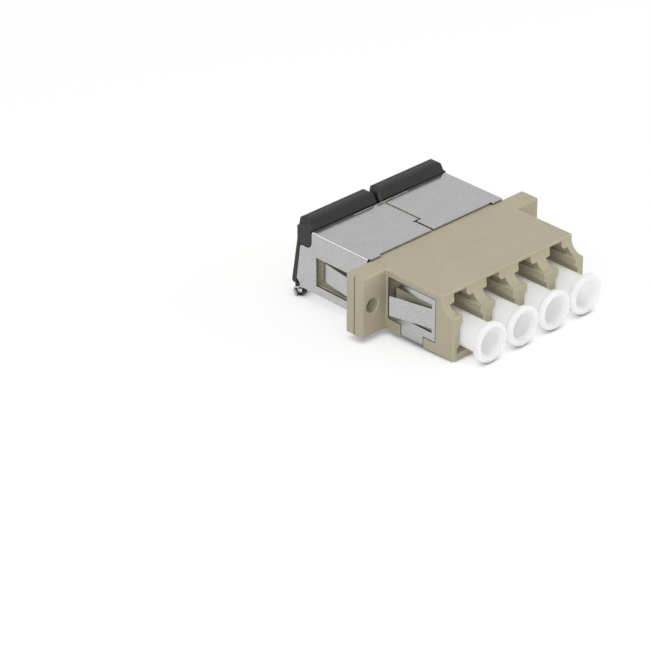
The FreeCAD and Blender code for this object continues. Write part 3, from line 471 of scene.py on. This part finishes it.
def cap_profile(low, high):
    """Half section from the closed inner end, over the ring, into the bore, in metres."""
    face, end = low[1], high[1]
    ring = (high[0] - low[0]) / 2
    back = face + RING_THICK
    return rounded([(0, end, 0), (BARREL - END_CHAMFER, end, SMALL_ROUND),
                    (BARREL, end - END_CHAMFER, SMALL_ROUND), (BARREL, back, 0.1 * MM),
                    (ring, back, 0.28 * MM), (ring, face, LARGE_ROUND),
                    (BORE + MOUTH_WIDER, face, SMALL_ROUND),
                    (BORE + BORE_DRAFT[0], face + MOUTH_DEPTH, LARGE_ROUND),
                    (BORE + BORE_DRAFT[1], face + BORE_DEPTH, LARGE_ROUND), (0, face + BORE_DEPTH, 0)])


for number in range(1, 5):
    node = "dust_cap_%d" % number
    low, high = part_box(node)
    centre_x, centre_z = (low[0] + high[0]) / 2, (low[2] + high[2]) / 2
    cap = turned("soft_cap_%d" % number, cap_profile(low, high), centre_x, centre_z)
    cap.data.materials.append(milky)
    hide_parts(node)
    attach(cap, "cap_%d" % number)
    print(cap.name, "faces", len(cap.data.polygons))

# %% [markdown]
# The two moulded halves are welded together. On top of the flange the weld has filled the small
# groove between them, and its bead is nearly flush, so a thin strip is drawn over the groove. Its
# section is a very low crown above and a V below.

# %% Weld bead
CROWN, CROWN_REACH, ROOT = 0.003 * MM, 0.24 * MM, 0.1 * MM
BEAD_DEEP = 0.03 * MM
BEAD_SHORTER = 0.7 * MM


def weld_bead(place, length):
    """Top: z = crown cos(pi y / 2 reach)^2 for |y| < reach. Underside: z = -0.9 max(root - |y|, 0.03 mm)."""
    y = np.linspace(-CROWN_REACH, CROWN_REACH, 13)
    top = np.stack([y, CROWN * np.cos(np.pi * y / (2 * CROWN_REACH)) ** 2], axis=1)
    under = np.stack([y[::-1], -0.9 * np.maximum(ROOT - np.abs(y[::-1]), BEAD_DEEP)], axis=1)[1:-1]
    ring = np.concatenate([top, under])
    x = np.linspace(-length / 2, length / 2, 9)
    rows = np.stack(np.broadcast_arrays(x[:, None], ring[None, :, 0], ring[None, :, 1]), axis=-1)
    middle = np.zeros((1, len(ring), 3))
    first, last = middle + (x[0], 0, -0.01 * MM), middle + (x[-1], 0, -0.01 * MM)
    piece = grid_piece("weld_bead", np.concatenate([first, rows, last]) + np.array(place))
    close_up(piece)
    piece.data.polygons.foreach_set("use_smooth", np.zeros(len(piece.data.polygons), dtype=bool))
    return piece


seam_low, seam_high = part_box("housing_front")
seam_place = ((seam_low[0] + seam_high[0]) / 2, seam_high[1], seam_high[2])
bead = weld_bead(seam_place, seam_high[0] - seam_low[0] - BEAD_SHORTER)
bead.data.materials.append(beige)
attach(bead, "housing")
print(bead.name, "faces", len(bead.data.polygons))

# %% [markdown]
# A torsion spring is one wire: a leg up the shutter, a close coil round the pin, and a short leg
# along the pin. Its middle line is worked out first, and a small circle is carried along it.

# %% Torsion springs
WIRE = 0.1 * MM
COIL = 0.61 * MM
PITCH = 0.22 * MM
TURNS = 4.85
TURN_STEPS = 48
LEG_LENGTH, LEG_SLANT = 3.3 * MM, 0.17
REST_LENGTH = 0.6 * MM


def spring_line(start_x, axis_y, axis_z):
    """Leg: straight up from the coil. Coil: y = R cos a, z = R sin a, x grows by the pitch each turn.

    Angle a starts at 0 and falls. The leg slants along X, and the last leg runs along X.
    """
    up = np.linspace(LEG_LENGTH, 0, 40, endpoint=False)[:, None]
    radial = np.array([0, 1.0, 0])
    leg = COIL * radial + up * np.array([LEG_SLANT, 0, 1.0])
    turn = np.linspace(0, TURNS, int(TURNS * TURN_STEPS))
    angle = -2 * np.pi * turn
    coil = np.stack([PITCH * turn, COIL * np.cos(angle), COIL * np.sin(angle)], axis=1)
    rest = coil[-1] + np.linspace(0, REST_LENGTH, 16)[1:, None] * np.array([1.0, 0, 0])
    line = np.concatenate([leg, coil, rest])
    outward = np.concatenate([np.tile(radial, (len(leg), 1)), coil * [0, 1, 1] / COIL,
                              np.tile(coil[-1] * [0, 1, 1] / COIL, (len(rest), 1))])
    smooth = line.copy()
    smooth[1:-1] = (line[:-2] + 2 * line[1:-1] + line[2:]) / 4
    return smooth + np.array([start_x, axis_y, axis_z]), outward


def swept_wire(name, line, outward, radius, steps=12):
    """Ring round each point: point + r (cos b * normal + sin b * binormal), normal square to the line."""
    ahead = np.gradient(line, axis=0)
    ahead /= np.linalg.norm(ahead, axis=1, keepdims=True)
    normal = outward - (outward * ahead).sum(axis=1, keepdims=True) * ahead
    normal /= np.linalg.norm(normal, axis=1, keepdims=True)
    side = np.cross(ahead, normal)
    around = np.linspace(0, 2 * np.pi, steps, endpoint=False)[None, :, None]
    across = np.cos(around) * normal[:, None, :] + np.sin(around) * side[:, None, :]
    rings = line[:, None, :] + radius * across
    first = np.repeat(line[:1, None, :], steps, axis=1)
    last = np.repeat(line[-1:, None, :], steps, axis=1)
    piece = grid_piece(name, np.concatenate([first, rings, last]))
    close_up(piece)
    return piece


pin_low, pin_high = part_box("hinge_pin")
axis_y, axis_z = (pin_low[1] + pin_high[1]) / 2, (pin_low[2] + pin_high[2]) / 2
for side in ("left", "right"):
    node = "torsion_spring_" + side
    low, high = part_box(node)
    line, outward = spring_line(low[0] + WIRE, axis_y, axis_z)
    spring = swept_wire("spring_wire_" + side, line, outward, WIRE)
    spring.data.materials.append(wire_steel)
    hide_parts(node)
    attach(spring, "flap_" + side)
    print(spring.name, "faces", len(spring.data.polygons))

# %% [markdown]
# The adapter rests on its hinge row and on the lower front edge of the body, so the table is
# drawn as a plane through those two lines, a hair below them. The lowest line of the hinge row is
# HINGE_DOWN under the pin's axis. The plane shows white to the camera and to mirrors, yet still
# darkens where the adapter shades it, and a contact shadow is painted into its colour close under the adapter.

# %% Table
TABLE_GLOW, GLOW_SHARE = 1.2, 0.5
TABLE_HALF = 0.6
HINGE_DOWN = 0.8 * MM
TABLE_GAP = 0.02 * MM


def camera_or_mirror(tree):
    """1 for rays from the camera or off a glossy surface, else 0."""
    rays = add(tree, "ShaderNodeLightPath").outputs
    either = {0: rays["Is Camera Ray"], 1: rays["Is Glossy Ray"]}
    return add(tree, "ShaderNodeMath", either, operation="MAXIMUM").outputs[0]


def pale_table():
    """Diffuse white with a painted contact shadow close to the adapter, half replaced by an even glow for
    camera and mirror rays, but not under the adapter.
    """
    material, tree, shader, _ = start_material("pale table")
    tree.nodes.remove(shader)
    clear = add(tree, "ShaderNodeAmbientOcclusion", {"Distance": 1.2 * MM}, samples=4).outputs["AO"]
    # painted shadow: the table's colour darkens to grey close to the adapter
    shadowed_paper = add(tree, "ShaderNodeValToRGB", {"Fac": clear},
                stops=[(0.2, linear("#585858")), (0.6, linear("#FBFBFB"))]).outputs["Color"]
    matt = add(tree, "ShaderNodeBsdfDiffuse", {"Color": shadowed_paper})
    glow = add(tree, "ShaderNodeEmission", {"Color": WHITE, "Strength": TABLE_GLOW})
    seen = camera_or_mirror(tree)
    share = add(tree, "ShaderNodeMath", {0: seen, 1: GLOW_SHARE}, operation="MULTIPLY").outputs[0]
    away = add(tree, "ShaderNodeMath", {0: share, 1: clear}, operation="MULTIPLY").outputs[0]
    blend = add(tree, "ShaderNodeMixShader", {0: away, 1: matt.outputs[0], 2: glow.outputs[0]})
    output = next(n for n in tree.nodes if n.type == "OUTPUT_MATERIAL")
    tree.links.new(blend.outputs[0], output.inputs["Surface"])
    return material


front = np.array(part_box("housing_front")[0][1:])
rear = np.array([axis_y, axis_z - HINGE_DOWN])
slope = (rear[1] - front[1]) / (rear[0] - front[0])
spots = np.array([(-1, -1), (1, -1), (1, 1), (-1, 1)]) * TABLE_HALF
heights = front[1] + slope * (spots[:, 1] - front[0]) - TABLE_GAP
table_mesh = bpy.data.meshes.new("table")
table_mesh.from_pydata(np.column_stack([spots, heights]).tolist(), [], [(0, 1, 2, 3)])
table = bpy.data.objects.new("table", table_mesh)
bpy.context.collection.objects.link(table)
table.data.materials.append(pale_table())
print("table tilt in degrees:", round(math.degrees(math.atan(slope)), 2))

# %% [markdown]
# Light is plain and soft: an even pale world, a wide soft box overhead, weaker ones from the
# left front and the right front, and a small one behind, which draws the bright lines along the
# folds of the sheet. The world is brighter to the camera and to mirrors than to matt surfaces.
# The right box stays out of mirrors, or the top of the frame would burn out when seen from behind.

# %% World and lamps
MATT_LEVEL, SEEN_LEVEL = 0.53, 0.88
world = bpy.data.worlds.new("pale studio")
bpy.context.scene.world = world
world.use_nodes = True
sky = world.node_tree
sky.nodes.clear()
level = add(sky, "ShaderNodeMapRange",
            {"Value": camera_or_mirror(sky), "To Min": MATT_LEVEL, "To Max": SEEN_LEVEL}).outputs["Result"]
back = add(sky, "ShaderNodeBackground", {"Strength": level, "Color": WHITE})
add(sky, "ShaderNodeOutputWorld", {"Surface": back.outputs[0]})


def soft_box(name, place, size, power):
    """A square area lamp at place, its size in metres and power in watts, turned to face the adapter."""
    lamp = bpy.data.lights.new(name, "AREA")
    lamp.size = size
    lamp.energy = power
    item = bpy.data.objects.new(name, lamp)
    item.location = place
    item.rotation_euler = (-Vector(place)).to_track_quat("-Z", "Y").to_euler()
    bpy.context.collection.objects.link(item)
    return item


soft_box("overhead soft box", (-0.05, -0.05, 0.4), 0.35, 0.46)
soft_box("left soft box", (-0.36, -0.22, 0.15), 0.25, 0.34)
right_box = soft_box("right soft box", (0.35, -0.3, 0.16), 0.25, 0.55)
right_box.visible_glossy = False
soft_box("fold soft box", (-0.2, 0.25, 0.24), 0.1, 0.06)
bpy.context.scene.view_settings.view_transform = "Standard"
print("world and lamps ready")

# %% [markdown]
# The camera was solved from the photograph: a long lens, 44 degrees round to the left and 29.6
# degrees above the ports, with the adapter kept off the middle of the frame as in the picture.

# %% Camera
AROUND = math.radians(-43.963)
ABOVE = math.radians(29.602)
FOCAL_PIXELS = 3170
FRAME_PIXELS = 652
SENSOR_MM = 36.0
DISTANCE_MM = 439.368
RIGHT_MM, UP_MM = -16.237, -4.62
AIM_MM = (0, 1.6, -4.6)
level_reach = math.cos(ABOVE)
back_way = Vector((math.sin(AROUND) * level_reach, -math.cos(AROUND) * level_reach, math.sin(ABOVE)))
right_way = Vector((math.cos(AROUND), math.sin(AROUND), 0))
up_way = back_way.cross(right_way)
place = (back_way * DISTANCE_MM + right_way * RIGHT_MM + up_way * UP_MM + Vector(AIM_MM)) * MM
lens = bpy.data.cameras.new("camera")
lens.sensor_width = SENSOR_MM
lens.lens = FOCAL_PIXELS / FRAME_PIXELS * SENSOR_MM
lens.clip_start = 0.01
lens.clip_end = 10
camera = bpy.data.objects.new("camera", lens)
turn = Matrix((right_way, up_way, back_way)).transposed()
camera.matrix_world = Matrix.Translation(place) @ turn.to_4x4()
bpy.context.collection.objects.link(camera)
bpy.context.scene.camera = camera
print("lens in mm:", round(lens.lens, 1))
